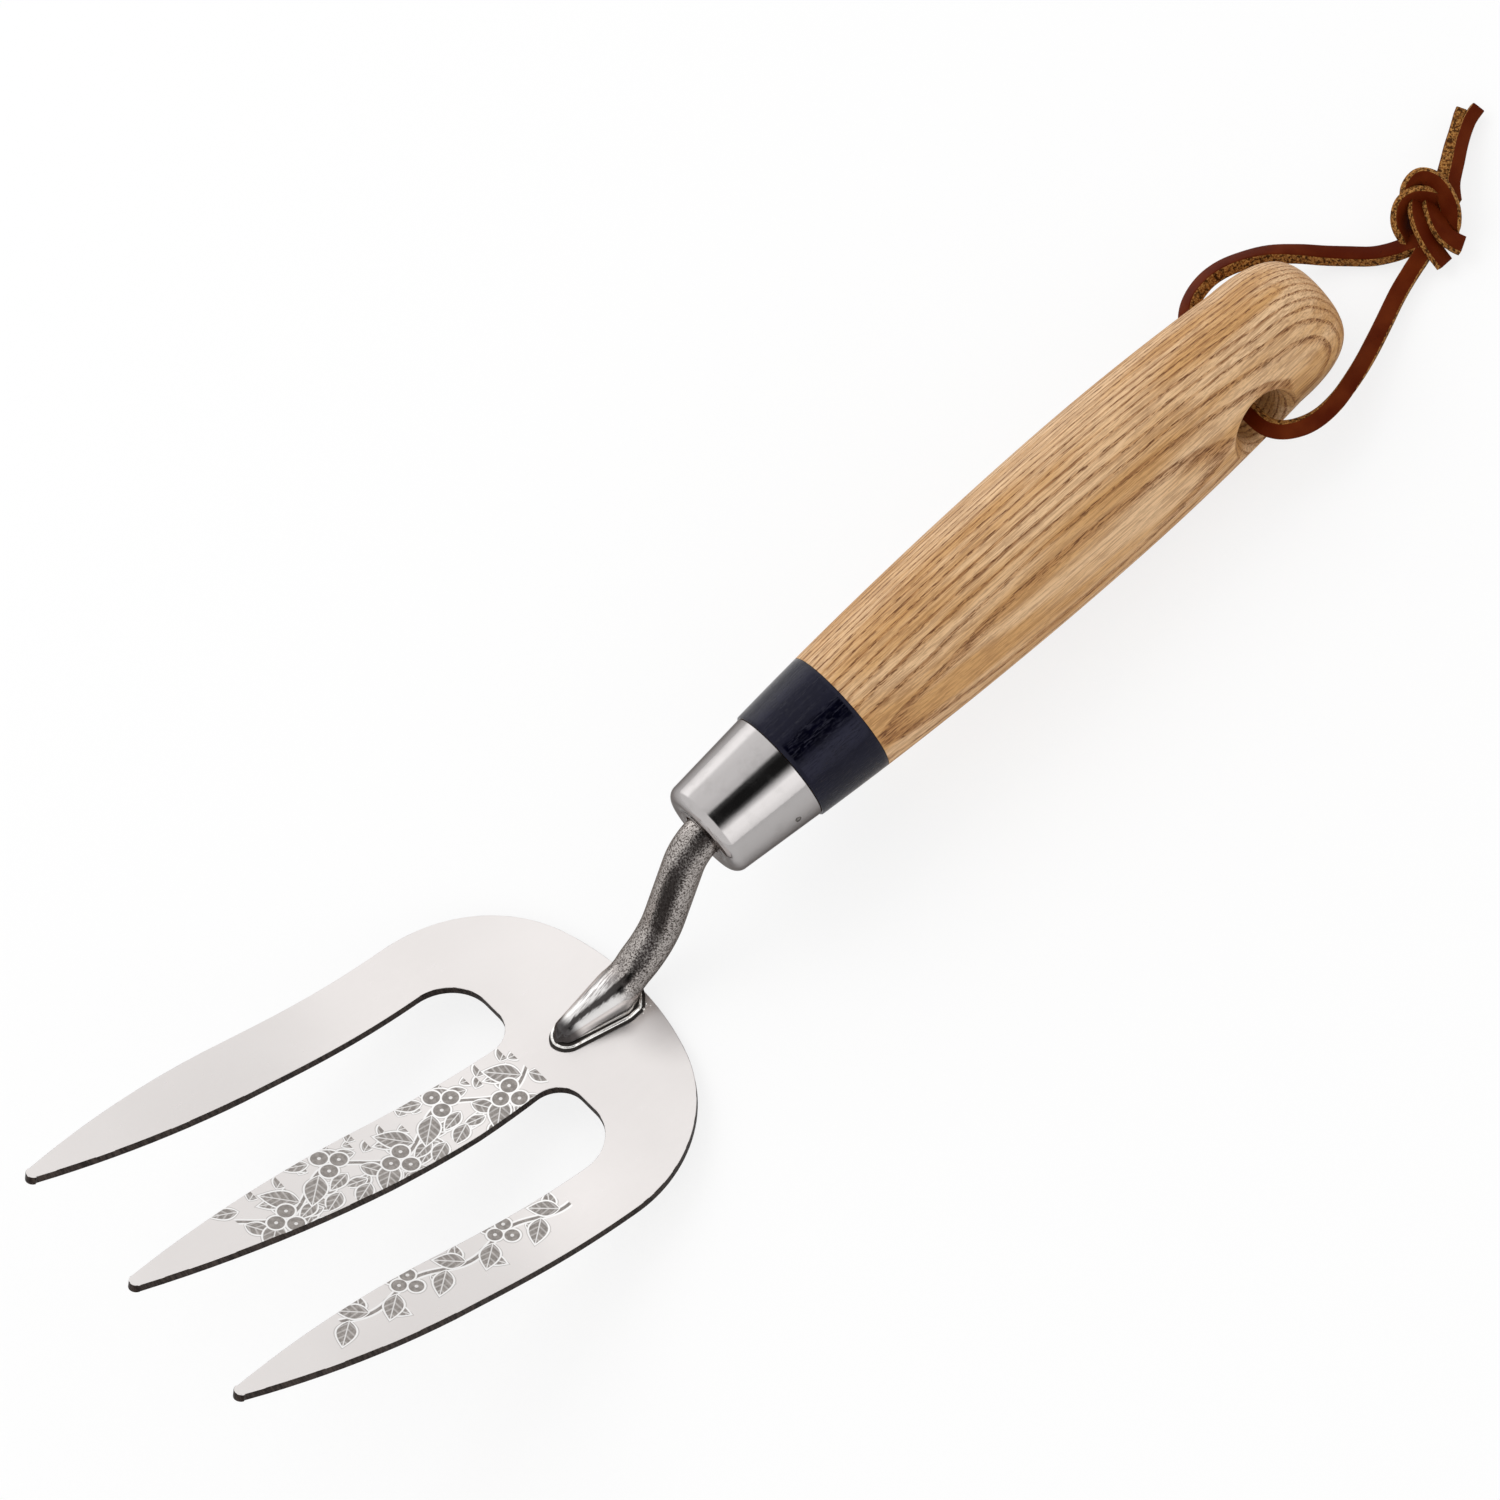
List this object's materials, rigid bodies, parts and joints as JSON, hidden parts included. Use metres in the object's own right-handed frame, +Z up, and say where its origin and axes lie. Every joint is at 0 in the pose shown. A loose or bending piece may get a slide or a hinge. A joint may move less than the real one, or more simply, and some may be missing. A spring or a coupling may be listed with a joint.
{
  "type": "digging fork",
  "caption": "Short-handled garden hand fork: bent steel tines, cranked welded neck, ferruled ash grip and a leather hanging loop.",
  "frame": {"origin": "middle of the fork's footprint as it lies on a flat surface, tines up, without the lanyard; Z = 0 is that surface", "axes": "+X along the fork towards the butt of the handle, +Z up from the surface it lies on, Y across the tines"},
  "size_m": [0.3496, 0.0802, 0.0534],
  "materials": {
    "blade_steel": "satin stainless sheet with fine lengthwise polishing marks",
    "rod_steel": "satin stainless rod, ground bright at the foot",
    "weld_steel": "bright weld bead with darker edges",
    "ferrule_steel": "mirror-polished stainless",
    "brad_steel": "small steel brad",
    "ash_wood": "sanded and oiled ash",
    "navy_lacquer": "very dark navy lacquer, semi-gloss, grain showing through",
    "lace_leather": "oiled dark brown leather lace with pale cut edges"
  },
  "bodies": {
    "fork": {"head": "blade_steel", "neck": "rod_steel", "weld_bead": "weld_steel", "ferrule": "ferrule_steel", "ferrule_brad": "brad_steel", "handle": "ash_wood", "painted_band": "navy_lacquer"},
    "lanyard": {"lanyard_lace": "lace_leather", "lanyard_knot": "lace_leather", "lanyard_tails": "lace_leather"}
  },
  "joints": [
    {"name": "lanyard_swing", "type": "hinge", "parent": "fork", "child": "lanyard", "pos_m": [0.1236, 0, 0.0146], "axis": [0, -1, 0], "range_deg": [0, 160]}
  ]
}
